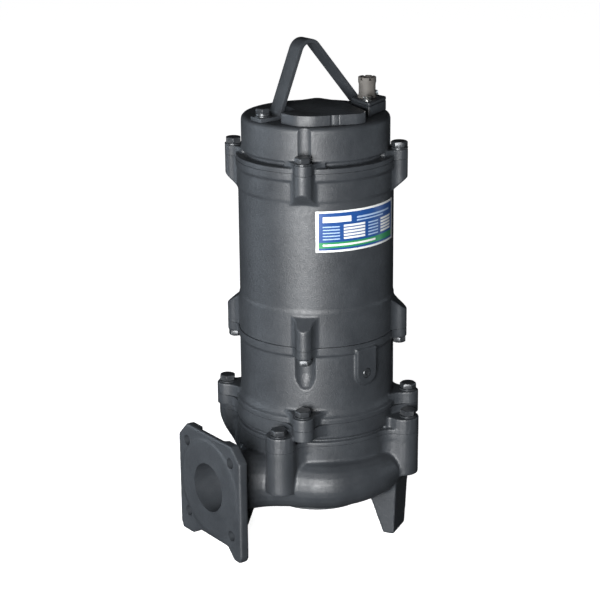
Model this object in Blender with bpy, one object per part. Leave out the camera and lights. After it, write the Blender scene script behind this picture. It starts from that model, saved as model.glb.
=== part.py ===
"""Submersible sewage pump: volute on legs, oil chamber, motor, cable gland and lifting handle.

Sizes are in millimetres and become metres in the mesh. The pump's own axis is vertical,
its discharge flange faces -X, and the finished part is shifted so that its bounding box
is centred on the origin, with its legs on z = 0.
"""
import math

import bmesh
import bpy
from mathutils import Matrix, Vector

MM = 0.001
GAP = 0.3                    # clearance between pieces that touch
ROUND = 64                   # facets round a large casting
SMALL_ROUND = 16             # facets round a bolt or a hole

# Heights of the joints between the castings, from the floor
COVER_Z = 140.5              # volute casing to casing cover
CHAMBER_Z = 170.3            # casing cover to oil chamber
FRAME_Z = 270.6              # oil chamber to motor frame
HEAD_Z = 493.0               # motor frame to motor head
HEAD_TOP = 548.0

# Radii of the castings
HEAD_R = 94.0
GROOVE_LOW_R = 101.0         # groove in the casing cover, above its flange
GROOVE_R = 90.5              # groove under the head, above its bolted ring
FRAME_R = 98.8
CHAMBER_R = 99.6
RIM_R = 105.0                # rim at the casing cover

# Bolt circles, and the angles of the bolts round them
UPPER_PITCH_R = 105.7
LOWER_PITCH_R = 107.2
CHAMBER_PITCH_R = 119.7
CASING_PITCH_R = 126.8
MOTOR_ANGLES = (45, 135, 225, 315)
CASING_ANGLES = (31, 121, 211, 301)

# Lugs that the bolts go through: centre radius, half-round radius, root fillet
UPPER_LUG = (105.7, 11.0, 12.0)
HEAD_LUG = (105.7, 11.0, 20.0)
LOWER_LUG = (107.2, 10.0, 16.0)
CHAMBER_LUG = (119.7, 13.5, 28.0)
CASING_LUG = (121.4, 19.0, 20.0)
LUG_ROOT_R = 82.5            # how far the lugs run into their ring

# Heights of the lugs' ends, and the slopes that close them, as (radius, height)
HEAD_LUG_TOP = 505.8
UPPER_SLOPE = ((98.8, 454.0), (116.5, 469.0))
LOWER_SLOPE = ((98.8, 310.7), (116.5, 296.5))
CHAMBER_LUG_LOW = 259.0
FOOT_TOP = 185.6
COVER_LUG_LOW = 155.7
CASING_LUG_TOP = 160.0
RIM_LUG_LOW = 132.0
TALL_BOSS_LOW = 82.0
TALL_BOSSES = (211, 301)
SHORT_BOSSES = (31, 121)
SHORT_SLOPE = ((118.0, 103.0), (140.0, 132.0))

# M12 hexagon bolts
BOLT_HOLE_R = 6.6
BOLT_SHANK_R = 6.0
BOLT_AF = 18.5               # across the flats
BOLT_HEAD = 7.5
WASHER_R = 11.0
WASHER = 2.0
FRAME_BOLT_SIZE = 0.86       # thinner heads that point down
HANDLE_BOLT_SIZE = 0.8
GLAND_SCREW_SIZE = 0.42
FLUTE_R = 14.7               # groove in the head above each bolt
POCKET = ((0, 212), (7, 213.5), (13, 219), (16.4, 229), (16.4, 259.4), (0, 259.4))

# Volute and discharge
SPIRAL_Z = 87.5              # height of the spiral's centre line
SPIRAL_BASE_R = 66.0         # inner side of the spiral
SPIRAL_START = 165.0         # angle where the spiral begins, in degrees
SPIRAL_END = -120.0          # angle where the discharge neck leaves it
SPIRAL_THIN = 17.0
SPIRAL_THICK = 32.0
WALL = 8.0
NOZZLE_Z = 84.0
NOZZLE_BORE_R = 32.5         # 65 mm discharge
NECK_R = 40.0
FLANGE_X = -172.5            # outer side of the flange
FLANGE_T = 12.5
FLANGE_HALF = 70.0
FLANGE_UP = 72.0
FLANGE_CORNER = 19.0         # cut off the upper corners
FLANGE_FEET = ((-39, -54, -82), (24, 42, -78.5))   # each foot's start, full depth and level
FLANGE_WAIST = -68.0
RELIEF = (30.0, 62.0, 5.7)   # half width, level and depth of the hollow behind the top edge
RAISED_R = 62.5
RAISED = 1.2
FLANGE_HOLE_R = 7.0
FLANGE_HOLE_PITCH = 99.0     # side of the square of holes
IMPELLER_R = 72.0
CHAMBER_BORE_R = 78.0
SUCTION_R = 36.0
SUCTION_PLATE_R = 66.0
VOLUTE_FLOOR = 48.0

# Legs
LEG_ANGLES = (-59, 61, 157)
LEG_OUT = 116.0
LEG_IN = 101.0
LEG_HALF = 21.5

# Handle and gland
BAR_WIDTH = 22.0
BAR_T = 5.0
HANDLE_CORNERS = ((-91, 550.8), (-62, 550.8), (-20, 655), (68, 550.8), (91, 550.8))
HANDLE_BENDS = (0, 8, 15, 8, 0)
HANDLE_BOLT_LEFT = -80.5
HANDLE_BOLT_RIGHT = 82.0
TERMINAL_CORNERS = ((-73, -23), (-68, -64), (3, -91), (21, -78), (32, -15), (22, 26), (-34, 26),
                    (-47, -23))
TERMINAL_NOTCH = ((-33, -90), (-20, -95), (-17, -81), (-29, -75))
PLATE_T = 13.0
GLAND_CENTRE = (58.5, -30.0)
SLEEVE_R = 11.2
SLEEVE_H = 26.0
GLAND_PLATE_T = 4.0
GLAND_CORNERS = ((35, -64), (82, -41), (80, -16), (42, -16))
GLAND_SCREWS = {"front": (43.5, -49.5), "rear": (75, -23)}

# Oil plug on the chamber
PLUG_ANGLE = -89.0
PLUG_Z = 231.0
PLUG_BOSS_HALF = 15.5

# Label on the motor frame: first and last angle, lowest and highest level
LABEL_SPAN = (-127.0, -54.5)
LABEL_Z = (394.0, 446.0)
LABEL_T = 0.8

# How far the whole part is moved so that its box is centred
SHIFT_X = 25.3
SHIFT_Y = 1.75


def clear_scene():
    for item in list(bpy.data.objects):
        bpy.data.objects.remove(item, do_unlink=True)


def material(name, colour, roughness, metallic=0.0):
    paint = bpy.data.materials.new(name)
    paint.use_nodes = True
    shader = paint.node_tree.nodes["Principled BSDF"]
    shader.inputs["Base Color"].default_value = (*colour, 1.0)
    shader.inputs["Roughness"].default_value = roughness
    shader.inputs["Metallic"].default_value = metallic
    return paint


CAST = ((0.045, 0.05, 0.056), 0.5, 0.0)
BOLT_STEEL = ((0.03, 0.033, 0.036), 0.4, 0.6)
SLEEVE_RUBBER = ((0.2, 0.18, 0.17), 0.6, 0.0)
LABEL = ((0.85, 0.87, 0.88), 0.35, 0.0)
BARE_STEEL = ((0.45, 0.45, 0.45), 0.35, 1.0)


def polar(radius, degrees, centre=(0.0, 0.0)):
    turn = math.radians(degrees)
    return (centre[0] + radius * math.cos(turn), centre[1] + radius * math.sin(turn))


def make_object(name, bm, finish):
    """Turn a bmesh in millimetres into a named object in metres."""
    bmesh.ops.scale(bm, vec=(MM, MM, MM), verts=bm.verts)
    bmesh.ops.recalc_face_normals(bm, faces=bm.faces)
    mesh = bpy.data.meshes.new(name)
    bm.to_mesh(mesh)
    bm.free()
    item = bpy.data.objects.new(name, mesh)
    bpy.context.collection.objects.link(item)
    item.data.materials.append(material(name, *finish))
    return item


def turned(name, profile, finish=CAST, steps=ROUND, centre=(0.0, 0.0)):
    """Spin a profile of (radius, height) points, from the axis and back to the axis."""
    bm = bmesh.new()
    points = [bm.verts.new((radius, 0.0, height)) for radius, height in profile]
    edges = [bm.edges.new(pair) for pair in zip(points, points[1:])]
    bmesh.ops.spin(
        bm, geom=points + edges, cent=(0, 0, 0), axis=(0, 0, 1),
        angle=math.tau, steps=steps, use_merge=True)
    bmesh.ops.remove_doubles(bm, verts=bm.verts, dist=0.001)
    bmesh.ops.dissolve_degenerate(bm, edges=bm.edges, dist=0.001)
    bmesh.ops.translate(bm, verts=bm.verts, vec=(centre[0], centre[1], 0.0))
    return make_object(name, bm, finish)


def prism(name, outline, low, high, finish=CAST):
    """Extrude a flat outline between two heights."""
    bm = bmesh.new()
    base = bm.faces.new([bm.verts.new((x, y, low)) for x, y in outline])
    grown = bmesh.ops.extrude_face_region(bm, geom=[base])
    top = [v for v in grown["geom"] if isinstance(v, bmesh.types.BMVert)]
    bmesh.ops.translate(bm, verts=top, vec=(0, 0, high - low))
    return make_object(name, bm, finish)


def disc(radius, steps=SMALL_ROUND, centre=(0.0, 0.0)):
    return [polar(radius, 360 * i / steps, centre) for i in range(steps)]


def arc(centre, start, end, steps):
    """Points of the shorter arc about a centre, from one point to another."""
    first = math.atan2(start[1] - centre[1], start[0] - centre[0])
    last = math.atan2(end[1] - centre[1], end[0] - centre[0])
    sweep = (last - first + math.pi) % math.tau - math.pi
    radius = math.dist(centre, start)
    turns = [first + sweep * i / steps for i in range(steps + 1)]
    return [(centre[0] + radius * math.cos(t), centre[1] + radius * math.sin(t)) for t in turns]


def lug_points(ring_r, lug, angle):
    """One lug's outline, from the ring over its two root fillets and back to the ring."""
    reach, nose, fillet = lug
    side = ring_r + fillet
    cosine = (side ** 2 + reach ** 2 - (nose + fillet) ** 2) / (2 * reach * side)
    spread = math.degrees(math.acos(cosine))
    centre = polar(reach, angle)
    tip = polar(reach + nose, angle)
    points = []
    for sign in (-1, 1):
        root = polar(ring_r, angle + sign * spread)
        pivot = polar(side, angle + sign * spread)
        along = (Vector(pivot) - Vector(centre)).normalized() * nose
        touch = tuple(Vector(centre) + along)
        if sign < 0:
            points += arc(pivot, root, touch, 4)
            points += arc(centre, touch, tip, 5)[1:]
        else:
            points += arc(centre, tip, touch, 5)[1:]
            points += arc(pivot, touch, root, 4)[1:]
    return points


def lobed(ring_r, lug, angles, inner_r=None, steps=10):
    """Outline of a ring with lugs. With inner_r the ring between the lugs is left out."""
    outline = []
    lobes = [lug_points(ring_r, lug, angle) for angle in angles]
    for number, lobe in enumerate(lobes):
        outline += lobe
        following = lobes[(number + 1) % len(lobes)][0]
        first = math.degrees(math.atan2(lobe[-1][1], lobe[-1][0]))
        last = math.degrees(math.atan2(following[1], following[0]))
        sweep = (last - first) % 360
        if inner_r:
            outline += [polar(inner_r, first), polar(inner_r, first + sweep)]
        else:
            outline += [polar(ring_r, first + sweep * i / steps) for i in range(1, steps)]
    return outline


def combine(item, others, operation):
    """Join others to an object, or cut them out of it, and keep the result as its mesh."""
    for other in others:
        step = item.modifiers.new(operation, "BOOLEAN")
        step.operation = operation
        step.solver = "EXACT"
        step.object = other
        other.display_type = "WIRE"
        other.hide_render = True
    shape = item.evaluated_get(bpy.context.evaluated_depsgraph_get())
    mesh = bpy.data.meshes.new_from_object(shape)
    item.modifiers.clear()
    bm = bmesh.new()
    bm.from_mesh(mesh)
    bmesh.ops.remove_doubles(bm, verts=bm.verts, dist=0.02 * MM)
    bmesh.ops.dissolve_degenerate(bm, edges=bm.edges, dist=0.01 * MM)
    bm.to_mesh(mesh)
    bm.free()
    item.data = mesh
    for other in others:
        bpy.data.objects.remove(other, do_unlink=True)
    return item


def join(item, *others):
    return combine(item, others, "UNION")


def cut(item, *others):
    return combine(item, others, "DIFFERENCE")


def holes(radius, pitch_r, angles, low, high):
    return [prism("hole", disc(radius, SMALL_ROUND, polar(pitch_r, a)), low, high) for a in angles]


def above_slope(inner, outer):
    """Cutter that fills the space over a cone from one (radius, height) point to another."""
    rise = (outer[1] - inner[1]) / (outer[0] - inner[0])
    near = (inner[0] - 4, inner[1] - 4 * rise)
    far = (outer[0] + 30, outer[1] + 30 * rise)
    roof = inner[1] + 60
    return ring_of(near, far, roof)


def below_slope(inner, outer):
    """Cutter that fills the space under a cone from one (radius, height) point to another."""
    rise = (outer[1] - inner[1]) / (outer[0] - inner[0])
    near = (inner[0] - 4, inner[1] - 4 * rise)
    far = (outer[0] + 30, outer[1] + 30 * rise)
    return ring_of(near, far, inner[1] - 60)


def ring_of(near, far, level):
    """Ring whose section is the four-sided area between two points and a level."""
    corners = [near, far, (far[0], level), (near[0], level), near]
    return turned("slope", corners)


def swept(name, stations, steps=16):
    """Tube through stations, each a centre, a sideways direction and a radius."""
    bm = bmesh.new()
    rings = []
    for centre, sideways, radius in stations:
        ring = []
        for i in range(steps):
            turn = math.tau * i / steps
            offset = sideways * math.cos(turn) + Vector((0, 0, 1)) * math.sin(turn)
            ring.append(bm.verts.new(centre + offset * radius))
        rings.append(ring)
    for ring, following in zip(rings, rings[1:]):
        for i in range(steps):
            j = (i + 1) % steps
            bm.faces.new((ring[i], ring[j], following[j], following[i]))
    bm.faces.new(rings[0])
    bm.faces.new(rings[-1])
    return make_object(name, bm, CAST)


def spiral_station(degrees, shrink):
    """Centre, outward direction and radius of the spiral's section at an angle."""
    share = (SPIRAL_START - degrees) / (SPIRAL_START - SPIRAL_END)
    thick = SPIRAL_THIN + (SPIRAL_THICK - SPIRAL_THIN) * max(share, 0)
    x, y = polar(SPIRAL_BASE_R + thick, degrees)
    return Vector((x, y, SPIRAL_Z)), Vector((*polar(1, degrees), 0)), thick - shrink


def spiral(name, shrink, steps=18):
    turns = [SPIRAL_START + (SPIRAL_END - SPIRAL_START) * i / steps for i in range(steps + 1)]
    return swept(name, [spiral_station(degrees, shrink) for degrees in turns])


def neck(name, shrink, mouth_r, past_flange, steps=7):
    """Tube from the end of the spiral, round a bend and out along -X to the flange."""
    root, side, root_r = spiral_station(SPIRAL_END, shrink)
    stations = [spiral_station(SPIRAL_END + 12, shrink), (root, side, root_r)]
    mouth = Vector((FLANGE_X + FLANGE_T, 0, NOZZLE_Z))
    reach = (mouth - root).length
    first = root + Vector((*polar(1, SPIRAL_END - 90), 0)) * reach * 0.4
    second = mouth + Vector((1, 0, 0)) * reach * 0.35
    for i in range(1, steps + 1):
        t = i / steps
        rest = 1 - t
        point = root * rest ** 3 + first * 3 * t * rest ** 2 + second * 3 * t * t * rest + mouth * t ** 3
        slope = (first - root) * rest ** 2 + (second - first) * 2 * t * rest + (mouth - second) * t * t
        side = Vector((-slope.y, slope.x, 0)).normalized()
        stations.append((point, side, root_r + (mouth_r - root_r) * t))
    stations.append((mouth - Vector((past_flange, 0, 0)), side, mouth_r))
    return swept(name, stations)


def facing_x(item, x):
    """Stand a flat piece made in XY up, so that it faces along X with its base at x."""
    rows = (0, 0, 1, x * MM), (1, 0, 0, 0), (0, 1, 0, NOZZLE_Z * MM), (0, 0, 0, 1)
    item.data.transform(Matrix(rows))
    return item


def flange_outline():
    """Square flange with its upper corners cut off and two feet at the bottom."""
    half, up, corner, toe = FLANGE_HALF, FLANGE_UP, FLANGE_CORNER, 5.0
    front, rear = FLANGE_FEET
    bottom = [(-half, front[2] + 2 * toe), (-half + toe, front[2]), (front[1], front[2]),
              (front[0], FLANGE_WAIST), (rear[0], FLANGE_WAIST), (rear[1], rear[2]),
              (half - toe, rear[2]), (half, rear[2] + 2 * toe)]
    return bottom + [(half, up - corner), (half - corner, up), (corner - half, up), (-half, up - corner)]


def discharge_flange():
    plate = facing_x(prism("flange", flange_outline(), 0, FLANGE_T), FLANGE_X)
    width, level, depth = RELIEF
    hollow = [(-width, level), (width, level), (width + 8, level + 30), (-width - 8, level + 30)]
    cut(plate, facing_x(prism("hollow", hollow, 0, depth + 5), FLANGE_X + FLANGE_T - depth))
    face = facing_x(prism("raised_face", disc(RAISED_R, 40), 0, RAISED + 2), FLANGE_X - RAISED)
    return [plate, face]


def flange_drills():
    half = FLANGE_HOLE_PITCH / 2
    drills = []
    for x in (-half, half):
        for y in (-half, half):
            hole = prism("hole", disc(FLANGE_HOLE_R, SMALL_ROUND, (x, y)), 0, FLANGE_T + 10)
            drills.append(facing_x(hole, FLANGE_X - 5))
    return drills


def leg(angle):
    """One leg: a slab that stands tangent to the casing and widens upwards."""
    bm = bmesh.new()
    foot = ((LEG_IN, -LEG_HALF), (LEG_OUT, -LEG_HALF), (LEG_OUT, LEG_HALF), (LEG_IN, LEG_HALF))
    outer, low_side, high_side = LEG_OUT + 4, -LEG_HALF - 3, LEG_HALF + 1
    top = ((74, low_side), (outer, low_side), (outer, high_side), (74, high_side))
    low = [bm.verts.new((x, y, 0)) for x, y in foot]
    high = [bm.verts.new((x, y, SPIRAL_Z - 12)) for x, y in top]
    bm.faces.new(low)
    bm.faces.new(high)
    for i in range(4):
        j = (i + 1) % 4
        bm.faces.new((low[i], low[j], high[j], high[i]))
    bmesh.ops.rotate(bm, verts=bm.verts, matrix=Matrix.Rotation(math.radians(angle), 3, "Z"))
    return make_object("leg", bm, CAST)


def bosses(name, angles, low):
    """Bosses under the casing's bolts, a little slimmer than the rim's lugs."""
    slim = (CASING_LUG[0], CASING_LUG[1] - 0.2, CASING_LUG[2])
    return prism(name, lobed(RIM_R - 1, slim, angles, LUG_ROOT_R), low, RIM_LUG_LOW + 2)


def volute_casing():
    outer = [(0, VOLUTE_FLOOR), (74, VOLUTE_FLOOR), (88, 56), (88, 110), (RIM_R, 117),
             (RIM_R, COVER_Z - GAP), (0, COVER_Z - GAP)]
    body = turned("volute_casing", outer)
    arms = lobed(RIM_R, CASING_LUG, CASING_ANGLES, LUG_ROOT_R)
    lugs = prism("lugs", arms, RIM_LUG_LOW, COVER_Z - GAP)
    tall = bosses("tall", TALL_BOSSES, TALL_BOSS_LOW)
    short = cut(bosses("short", SHORT_BOSSES, 88), below_slope(*SHORT_SLOPE))
    shell = spiral("shell", 0)
    pipe = neck("pipe", 0, NECK_R, FLANGE_T - 2)
    legs = [leg(angle) for angle in LEG_ANGLES]
    join(body, lugs, shell, pipe, tall, short, *legs, *discharge_flange())
    room = turned("room", [(0, 56), (CHAMBER_BORE_R, 56), (CHAMBER_BORE_R, 160), (0, 160)])
    eye = turned("eye", [(0, 30), (SUCTION_R + 14, 30), (SUCTION_R + 14, 60), (0, 60)], steps=32)
    passage = spiral("passage", WALL)
    bore = neck("bore", WALL, NOZZLE_BORE_R, FLANGE_T + 10)
    cut(body, room, eye, passage, bore, *flange_drills())
    bolts = holes(BOLT_HOLE_R, CASING_PITCH_R, CASING_ANGLES, COVER_Z - 22, COVER_Z + 10)
    return cut(body, *bolts)


def suction_cover():
    plate = [(SUCTION_R, 36), (SUCTION_PLATE_R, 36), (SUCTION_PLATE_R, VOLUTE_FLOOR - GAP),
             (SUCTION_R, VOLUTE_FLOOR - GAP), (SUCTION_R, 36)]
    return turned("suction_cover", plate, steps=40)


def impeller():
    """Semi-open impeller: a shroud disc with curved vanes under it and the shaft's collar above."""
    section = [(0, 62), (20, 62), (22, 108), (IMPELLER_R, 112), (IMPELLER_R, 120), (24, 120),
               (24, COVER_Z - GAP), (0, COVER_Z - GAP)]
    shroud = turned("impeller", section, steps=40)
    vanes = []
    for number in range(3):
        outer = [polar(20 + 50 * i / 6, 120 * number + 95 * i / 6) for i in range(7)]
        inner = [polar(16 + 54 * i / 6, 120 * number + 8 + 95 * i / 6) for i in range(7)]
        vanes.append(prism("vane", outer + inner[::-1], 62, 113))
    return join(shroud, *vanes)


def casing_cover():
    rim = lobed(RIM_R, CASING_LUG, CASING_ANGLES)
    body = prism("casing_cover", rim, COVER_Z, COVER_Z + 5)
    waist = turned("waist", [(0, COVER_Z + 1), (GROOVE_LOW_R, COVER_Z + 1), (GROOVE_LOW_R, 149),
                             (RIM_R, 151), (RIM_R, CHAMBER_Z - GAP), (0, CHAMBER_Z - GAP)])
    pad = (*CASING_LUG[:2], 5)
    pads = prism("pads", lobed(RIM_R, pad, CASING_ANGLES, LUG_ROOT_R), COVER_Z + 1, CASING_LUG_TOP)
    arms = lobed(RIM_R, CHAMBER_LUG, MOTOR_ANGLES, LUG_ROOT_R)
    lugs = prism("lugs", arms, COVER_LUG_LOW, CHAMBER_Z - GAP)
    join(body, waist, pads, lugs)
    cut(body, *holes(BOLT_HOLE_R, CASING_PITCH_R, CASING_ANGLES, COVER_Z - 5, 170))
    return cut(body, *holes(BOLT_HOLE_R, CHAMBER_PITCH_R, MOTOR_ANGLES, 150, CHAMBER_Z + 5))


def pocket(angle):
    """Recess under a bolt of the upper flange, round at the bottom."""
    return turned("pocket", POCKET, steps=20, centre=polar(LOWER_PITCH_R, angle))


def oil_chamber():
    low, high = CHAMBER_Z, FRAME_Z - GAP
    body = turned("oil_chamber", [(0, low), (RIM_R, low), (RIM_R, 177), (RIM_R - 2, 179),
                                  (CHAMBER_R + 0.8, 184), (CHAMBER_R, 189), (CHAMBER_R, 259), (CHAMBER_R + 1.4, 261.5),
                                  (CHAMBER_R + 1.4, high), (0, high)])
    cut(body, *[pocket(angle) for angle in MOTOR_ANGLES])
    feet = prism("feet", lobed(RIM_R, CHAMBER_LUG, MOTOR_ANGLES, LUG_ROOT_R), low, FOOT_TOP)
    lugs = prism("lugs", lobed(CHAMBER_R, LOWER_LUG, MOTOR_ANGLES, LUG_ROOT_R), CHAMBER_LUG_LOW, high)
    join(body, feet, lugs, plug_boss())
    drills = holes(BOLT_HOLE_R, CHAMBER_PITCH_R, MOTOR_ANGLES, low - 5, 200)
    drills += holes(BOLT_HOLE_R, LOWER_PITCH_R, MOTOR_ANGLES, 250, high + 5)
    cut(body, *drills)
    return cut(body, plug_hole())


def facing_out(item, angle, radius, height):
    """Stand a piece made along +Z up, so that it points outwards at an angle of the pump."""
    outward = Matrix.Rotation(math.radians(angle), 4, "Z") @ Matrix.Rotation(math.pi / 2, 4, "Y")
    x, y = polar(radius, angle)
    item.data.transform(Matrix.Translation((x * MM, y * MM, height * MM)) @ outward)
    return item


def plug_boss():
    half = PLUG_BOSS_HALF
    outline = [polar(half, d) for d in range(-90, 91, 15)] + [(-30, half), (-30, -half)]
    return facing_out(prism("boss", outline, 0, 12), PLUG_ANGLE, 92, PLUG_Z)


def plug_hole():
    return facing_out(prism("hole", disc(8.5, 20), 0, 16), PLUG_ANGLE, 96, PLUG_Z)


def oil_plug():
    """Socket plug screwed into the boss of the oil chamber."""
    plug = facing_out(prism("oil_plug", disc(8.1, 20), 0, 6.6, BOLT_STEEL), PLUG_ANGLE, 96.4, PLUG_Z)
    socket = facing_out(prism("socket", disc(3.6, 6), 0, 9), PLUG_ANGLE, 99, PLUG_Z)
    return cut(plug, socket)


def motor_frame():
    low, high = FRAME_Z, HEAD_Z - GAP
    body = turned("motor_frame", [(0, low), (FRAME_R + 0.8, low), (FRAME_R + 0.8, 316), (FRAME_R, 318.5),
                                  (FRAME_R, 456), (FRAME_R + 0.6, 458.5), (FRAME_R + 0.6, 481),
                                  (FRAME_R + 1.6, 483.5), (FRAME_R + 1.6, high), (0, high)])
    lower = prism("lower_lugs", lobed(FRAME_R, LOWER_LUG, MOTOR_ANGLES, LUG_ROOT_R), low, 312)
    cut(lower, above_slope(*LOWER_SLOPE))
    upper = prism("upper_lugs", lobed(FRAME_R, UPPER_LUG, MOTOR_ANGLES, LUG_ROOT_R), 452, high)
    cut(upper, below_slope(*UPPER_SLOPE))
    join(body, lower, upper)
    drills = holes(BOLT_HOLE_R, LOWER_PITCH_R, MOTOR_ANGLES, low - 5, 288)
    drills += holes(BOLT_HOLE_R, UPPER_PITCH_R, MOTOR_ANGLES, 474, high + 5)
    return cut(body, *drills)


def motor_head():
    edge = [polar(6, degrees, (HEAD_R - 6, HEAD_TOP - 6)) for degrees in range(0, 91, 18)]
    profile = [(0, HEAD_Z), (FRAME_R + 1.2, HEAD_Z), (FRAME_R + 1.2, 498), (FRAME_R, 499),
               (GROOVE_R, 499), (GROOVE_R, 503), (HEAD_R, 505.3), *edge, (0, HEAD_TOP)]
    body = turned("motor_head", profile)
    lugs = prism("lugs", lobed(HEAD_R, HEAD_LUG, MOTOR_ANGLES, LUG_ROOT_R), HEAD_Z, HEAD_LUG_TOP)
    join(body, lugs)
    discs = [disc(FLUTE_R, 28, polar(UPPER_PITCH_R, angle)) for angle in MOTOR_ANGLES]
    cut(body, *[prism("flute", outline, HEAD_LUG_TOP, HEAD_TOP + 5) for outline in discs])
    return cut(body, *holes(BOLT_HOLE_R, UPPER_PITCH_R, MOTOR_ANGLES, HEAD_Z - 5, 515))


def rounded(corners, radius, steps=4):
    """Outline through corners, each rounded by an arc that touches both of its sides."""
    outline = []
    count = len(corners)
    for i, corner in enumerate(corners):
        here = Vector(corner)
        back = (Vector(corners[i - 1]) - here).normalized()
        ahead = (Vector(corners[(i + 1) % count]) - here).normalized()
        half = back.angle(ahead) / 2
        reach = radius / math.tan(half)
        centre = here + (back + ahead).normalized() * radius / math.sin(half)
        outline += arc(tuple(centre), tuple(here + back * reach), tuple(here + ahead * reach), steps)
    return outline


def terminal_cover():
    """Plate over the terminal space, with a notch in its front side."""
    plate = prism("terminal_cover", rounded(TERMINAL_CORNERS, 7), HEAD_TOP + GAP, HEAD_TOP + PLATE_T)
    return cut(plate, prism("notch", rounded(TERMINAL_NOTCH, 2), HEAD_TOP - 5, HEAD_TOP + 30))


def gland_block():
    block = prism("gland_block", rounded(GLAND_CORNERS, 5), HEAD_TOP + GAP, HEAD_TOP + PLATE_T)
    return cut(block, *gland_drills())


def gland_plate():
    base = HEAD_TOP + PLATE_T + GAP
    plate = prism("gland_plate", rounded(GLAND_CORNERS, 5), base, base + GLAND_PLATE_T)
    return cut(plate, *gland_drills())


def gland_drills():
    discs = [disc(2.8, 12, place) for place in GLAND_SCREWS.values()]
    return [prism("hole", outline, HEAD_TOP + 4, HEAD_TOP + 40) for outline in discs]


def cable_sleeve():
    base = HEAD_TOP + PLATE_T + 2 * GAP + GLAND_PLATE_T
    top = base + SLEEVE_H
    r = SLEEVE_R
    profile = [(0, base), (r + 0.6, base), (r + 0.6, base + 3), (r - 0.8, base + 6), (r - 1.2, top - 9),
               (r, top - 5), (r, top), (7, top), (6.5, top - 5), (0, top - 5)]
    return turned("cable_sleeve", profile, SLEEVE_RUBBER, 24, GLAND_CENTRE)


def hex_bolt(name, place, seat, shank, size=1.0, up=True, finish=BOLT_STEEL):
    """Hexagon bolt with its washer on the seat. Its head is up, or else it hangs below."""
    washer = WASHER * size
    body = prism(name, disc(WASHER_R * size, 20, place), 0, washer, finish)
    head_r = BOLT_AF * size / math.sqrt(3)
    head = prism("head", disc(head_r, 6, place), washer - 0.5, washer + BOLT_HEAD * size)
    stem = prism("stem", disc(BOLT_SHANK_R * size, 12, place), -shank, 0.5)
    join(body, head, stem)
    if not up:
        centre = Vector((place[0], place[1], 0)) * MM
        turn = Matrix.Rotation(math.pi, 4, "X")
        body.data.transform(Matrix.Translation(centre) @ turn @ Matrix.Translation(-centre))
    lift = GAP if up else -GAP
    body.data.transform(Matrix.Translation((0, 0, (seat + lift) * MM)))
    return body


def all_bolts():
    for number in range(4):
        motor = MOTOR_ANGLES[number]
        suffix = number + 1
        hex_bolt(f"head_bolt_{suffix}", polar(UPPER_PITCH_R, motor), HEAD_LUG_TOP, 28)
        hex_bolt(f"chamber_bolt_{suffix}", polar(CHAMBER_PITCH_R, motor), FOOT_TOP, 28)
        hex_bolt(f"casing_bolt_{suffix}", polar(CASING_PITCH_R, CASING_ANGLES[number]), CASING_LUG_TOP, 38)
        hex_bolt(f"frame_bolt_{suffix}", polar(LOWER_PITCH_R, motor), CHAMBER_LUG_LOW, 26,
                 FRAME_BOLT_SIZE, up=False)


def small_screws():
    seat = HEAD_TOP + GAP + BAR_T
    for side, x in (("left", HANDLE_BOLT_LEFT), ("right", HANDLE_BOLT_RIGHT)):
        hex_bolt(f"handle_bolt_{side}", (x, 0), seat, 4.8, HANDLE_BOLT_SIZE)
    seat = HEAD_TOP + PLATE_T + GAP + GLAND_PLATE_T
    for side, place in GLAND_SCREWS.items():
        hex_bolt(f"gland_screw_{side}", place, seat, 12, GLAND_SCREW_SIZE, finish=BARE_STEEL)


def handle_path():
    """Middle line of the bar, from the left foot over the top to the right foot."""
    path = [HANDLE_CORNERS[0]]
    for i in range(1, len(HANDLE_CORNERS) - 1):
        here = Vector(HANDLE_CORNERS[i])
        back = (Vector(HANDLE_CORNERS[i - 1]) - here).normalized()
        ahead = (Vector(HANDLE_CORNERS[i + 1]) - here).normalized()
        half = back.angle(ahead) / 2
        reach = HANDLE_BENDS[i] / math.tan(half)
        centre = here + (back + ahead).normalized() * HANDLE_BENDS[i] / math.sin(half)
        path += arc(tuple(centre), tuple(here + back * reach), tuple(here + ahead * reach), 6)
    return path + [HANDLE_CORNERS[-1]]


def offset_path(path, distance):
    """The path moved sideways, mitred at each point."""
    moved = []
    for i, point in enumerate(path):
        before = Vector(path[max(i - 1, 0)])
        after = Vector(path[min(i + 1, len(path) - 1)])
        along = (after - before).normalized()
        moved.append((point[0] - along.y * distance, point[1] + along.x * distance))
    return moved


def lifting_handle():
    path = handle_path()
    outline = offset_path(path, BAR_T / 2) + offset_path(path, -BAR_T / 2)[::-1]
    bar = prism("lifting_handle", outline, -BAR_WIDTH / 2, BAR_WIDTH / 2)
    bar.data.transform(Matrix(((1, 0, 0, 0), (0, 0, -1, 0), (0, 1, 0, 0), (0, 0, 0, 1))))
    drills = [prism("hole", disc(5.4, 14, (x, 0)), HEAD_TOP - 3, HEAD_TOP + 12)
              for x in (HANDLE_BOLT_LEFT, HANDLE_BOLT_RIGHT)]
    return cut(bar, *drills)


def label_plate():
    """Thin label that follows the motor frame."""
    first, last = LABEL_SPAN
    inner = FRAME_R + GAP
    turns = [first + (last - first) * i / 14 for i in range(15)]
    outline = [polar(inner + LABEL_T, a) for a in turns] + [polar(inner, a) for a in reversed(turns)]
    return prism("label_plate", outline, *LABEL_Z, LABEL)


def centre_on_origin():
    for item in bpy.data.objects:
        item.data.transform(Matrix.Translation((SHIFT_X * MM, SHIFT_Y * MM, 0)))
        item.data.shade_smooth()
        item.data.set_sharp_from_angle(angle=math.radians(30))


def build():
    clear_scene()
    volute_casing()
    suction_cover()
    impeller()
    casing_cover()
    oil_chamber()
    oil_plug()
    motor_frame()
    motor_head()
    terminal_cover()
    gland_block()
    gland_plate()
    cable_sleeve()
    lifting_handle()
    label_plate()
    all_bolts()
    small_screws()
    centre_on_origin()


build()
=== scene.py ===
import math

import bmesh
import bpy
from mathutils import Matrix, Vector


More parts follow.
